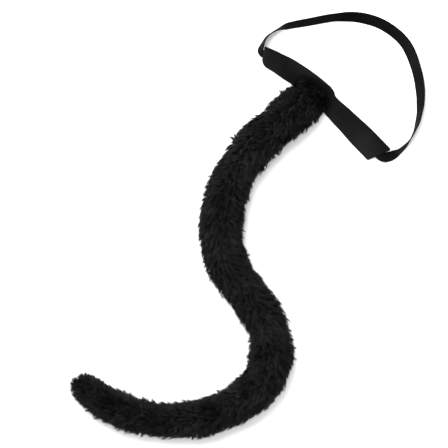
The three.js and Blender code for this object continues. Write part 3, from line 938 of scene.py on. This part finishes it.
def grow_locks(rng):
    """Place and habit of every lock: its way, height, size, bend and shade."""
    at, angle = place_locks(rng)
    inward = np.concatenate([np.ones(at.size), np.sqrt(rng.uniform(0, 1, END_LOCKS))])
    at = np.concatenate([at, np.ones(END_LOCKS)])
    angle = np.concatenate([angle, rng.uniform(0, 2 * np.pi, END_LOCKS)])
    count = at.size
    messy = waves(at, angle, rng, *WAY_WAVES)
    splay = -SPLAY * (SPLAY_ONCE * np.cos(angle) + SPLAY_TWICE * np.sin(2 * angle))
    locks = {
        "at": at,
        "angle": angle,
        "inward": inward,
        "way": splay + messy + rng.normal(0, WAY_SCATTER, count),
        "rise": 1 + waves(at, angle, rng, *RISE_WAVES) + rng.normal(0, RISE_SCATTER, count),
        "size": np.clip(1 + rng.normal(0, SIZE_SCATTER, count), *SIZE_LIMITS),
        "bend": rng.normal(0, BEND_SCATTER, count),
        "shade": 0.5 + waves(at, angle, rng, *SHADE_WAVES) + rng.normal(0, SHADE_SCATTER, count),
    }
    locks["rise"] = np.clip(locks["rise"], *RISE_LIMITS)
    locks["shade"] = np.clip(locks["shade"], 0, 1)
    is_long = rng.uniform(0, 1, count) < LONG_LOCKS
    locks["size"] *= read_table(FUR_LENGTHS, "length", at) * np.where(is_long, LONG_LOCK_SIZE, 1)
    locks["rise"] *= read_table(FUR_LENGTHS, "rise", at) * np.where(is_long, LONG_LOCK_RISE, 1)
    return locks


def root_points(at, angle, inward):
    """Points on the backing, drawn towards its middle by a share where they lie on its end."""
    middle = tail_section(at)[0]
    return middle + (backing(at, angle) - middle) * inward[:, None]


def clear_band(points):
    """Points of the tail near its root, moved out of the band where they would sink into it."""
    at = np.linspace(*NEAR_ROOT, NEAR_ROOT_STATIONS)
    middle, (along, across, out), _ = band_place(at)
    offset = points[:, None] - middle[None]
    nearest = np.abs((offset * along[None]).sum(axis=-1)).argmin(axis=1)
    offset = offset[np.arange(len(points)), nearest]
    depth = (offset * out[nearest]).sum(axis=-1)
    sideways = np.abs((offset * across[nearest]).sum(axis=-1))
    missing = BAND_THICKNESS / 2 + ROOT_CLEARANCE - depth
    sunk = (missing > 0) & (sideways < BAND_WIDTH / 2 + ROOT_CLEARANCE)
    return points + out[nearest] * (missing * sunk)[:, None]


def grow_strands(rng):
    """Points of every strand at its stations, the direction out of the backing there, and its shade."""
    locks = grow_locks(rng)
    owner = np.repeat(np.arange(locks["at"].size), STRANDS_PER_LOCK)
    total = owner.size
    spread = np.sqrt(rng.uniform(0, 1, total))
    radius = LOCK_RADIUS * spread
    turn = rng.uniform(0, 2 * np.pi, total)
    at = np.clip(locks["at"][owner] + radius * np.cos(turn) / BACKING_LENGTH, STRAND_START, 1)
    angle = locks["angle"][owner] + radius * np.sin(turn) / CORE_HALF_WIDTH
    inward = locks["inward"][owner]
    _, forward, round_it, out = backing_frame(at, angle)
    roots = root_points(at, angle, inward)
    spine = spine_direction(at)
    end_share = smooth((at - TIP_START) / TIP_REACH)[:, None]
    forward = unit(forward * (1 - end_share) + spine * end_share)
    out = unit(out * inward[:, None] + spine * (1 - inward)[:, None])
    centres = root_points(locks["at"], locks["angle"], locks["inward"])[owner]
    stray = rng.uniform(0, 1, total) < STRAY_SHARE
    way = locks["way"][owner] + rng.normal(0, STRAND_WAY_SCATTER, total)
    way = way + stray * rng.normal(0, STRAY_SCATTER, total)
    ahead = read_table(FUR_LENGTHS, "ahead", at)
    direction = forward * (ahead * np.cos(way))[:, None] + round_it * np.sin(way)[:, None]
    sideways = np.cross(out, direction)
    length = STRAND_LENGTH * locks["size"][owner] * rng.uniform(*STRAND_LENGTHS, total)
    rise = STRAND_RISE * locks["rise"][owner] * rng.uniform(*STRAND_RISES, total) * (1 + STRAY_RISE * stray)
    curl = locks["bend"][owner] + rng.normal(0, CURL_SCATTER, total)
    lowest = rng.uniform(LOWEST_STRAND, HIGHEST_LOW_STRAND, total)
    places = []
    for t in STRAND_STATIONS:
        point = roots + direction * (length * t * (1 - STRAND_LAG + STRAND_LAG * t))[:, None]
        point = point + out * (rise * (1 - (1 - t) ** RISE_POWER) - ROOT_SINK * (t == 0))[:, None]
        point = point + sideways * (curl * length * t * t)[:, None]
        point = point + (centres - roots) * (LOCK_POINT * t ** GATHER_POWER)
        point[at < ROOT_SHARE] = clear_band(point[at < ROOT_SHARE])
        point[:, 2] = np.maximum(point[:, 2], lowest)
        places.append(point)
    own_shade = rng.uniform(0, 1, total)
    shade = LOCK_SHADE_SHARE * locks["shade"][owner] + (1 - LOCK_SHADE_SHARE) * own_shade
    # Painted shade between the locks: strands at the rim of each lock are darker.
    shade = shade * (1 - RIM_PAINTED_SHADE * spread ** RIM_POWER)
    return places, out, shade


def fur_arrays(rng):
    """Vertices, triangles and map of all strands, each a narrow blade of three lengths."""
    places, out, shade = grow_strands(rng)
    total = len(out)
    roll = rng.uniform(-STRAND_ROLL, STRAND_ROLL, total)[:, None]
    wide = STRAND_HALF_WIDTH * rng.uniform(*STRAND_WIDTHS, total)
    vertices, maps = [], []
    for number, share in enumerate(STRAND_TAPER):
        run = unit(places[number + 1] - places[number])
        flat = unit(np.cross(run, out))
        across = flat * np.cos(roll) + np.cross(run, flat) * np.sin(roll)
        for side in (-1, 1):
            point = places[number] + across * (side * share * wide)[:, None]
            point[:, 2] = np.maximum(point[:, 2], LOWEST_STRAND)
            vertices.append(point)
            maps.append(np.stack([shade, np.full(total, STRAND_STATIONS[number])], axis=1))
    vertices.append(places[-1])
    maps.append(np.stack([shade, np.ones(total)], axis=1))
    points = np.stack(vertices, axis=1)
    uv = np.stack(maps, axis=1)
    pattern = np.array([[0, 1, 3], [0, 3, 2], [2, 3, 5], [2, 5, 4], [4, 5, 6]])
    return points, uv, pattern


def make_fur(material):
    """All the fur, from the root to the tip, in pieces of like size."""
    points, uv, pattern = fur_arrays(np.random.default_rng(FUR_SEED))
    total = len(points)
    for number in range(FUR_PIECES):
        part = slice(total * number // FUR_PIECES, total * (number + 1) // FUR_PIECES)
        own = points[part] + SHIFT
        triangles = np.arange(len(own))[:, None, None] * own.shape[1] + pattern[None]
        piece = add_mesh(f"fur_{number + 1}", own.reshape(-1, 3), triangles.reshape(-1, 3),
                         uv[part].reshape(-1, 2), True, material)
        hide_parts("tail")


def make_floor():
    """A plain white floor."""
    bpy.ops.mesh.primitive_plane_add(size=FLOOR_SIZE, location=(0, 0, 0))
    floor = bpy.context.object
    floor.name = "floor"
    material, _ = principled("floor")
    floor.data.materials.append(material)


def add_area(name, place, target, size, power):
    """A soft square lamp that points at a target."""
    lamp = bpy.data.lights.new(name, "AREA")
    lamp.energy = power
    lamp.size = size
    thing = bpy.data.objects.new(name, lamp)
    thing.location = place
    aim = np.array(target) - np.array(place)
    thing.rotation_euler = Vector(aim).to_track_quat("-Z", "Y").to_euler()
    bpy.context.collection.objects.link(thing)


def light():
    """Soft studio light from above, stronger from the far left."""
    world = bpy.data.worlds.new("studio")
    world.use_nodes = True
    sky = world.node_tree.nodes["Background"]
    sky.inputs["Color"].default_value = (1, 1, 1, 1)
    sky.inputs["Strength"].default_value = SKY_STRENGTH
    bpy.context.scene.world = world
    add_area("key", KEY_PLACE, (0, 0, 0), KEY_SIZE, KEY_POWER)


def aim_camera():
    """Straight above, with the photograph's up along +Y."""
    camera = bpy.data.cameras.new("camera")
    thing = bpy.data.objects.new("camera", camera)
    camera.lens = camera.sensor_width * (CAMERA_DISTANCE - PICTURE_HEIGHT) / PICTURE_WIDTH
    thing.location = (*(SHIFT[:2] + PICTURE_MIDDLE), CAMERA_DISTANCE)
    camera.clip_end = CAMERA_REACH
    bpy.context.collection.objects.link(thing)
    bpy.context.scene.camera = thing


def main():
    """Builds the whole scene."""
    fur = fur_material()
    make_backing(fur)
    make_fur(fur)
    make_band(woven_material("band_cloth"))
    make_elastic(woven_material("elastic"))
    sew(woven_material("thread"))
    make_floor()
    light()
    aim_camera()
    bpy.context.scene.view_settings.view_transform = "Standard"


main()
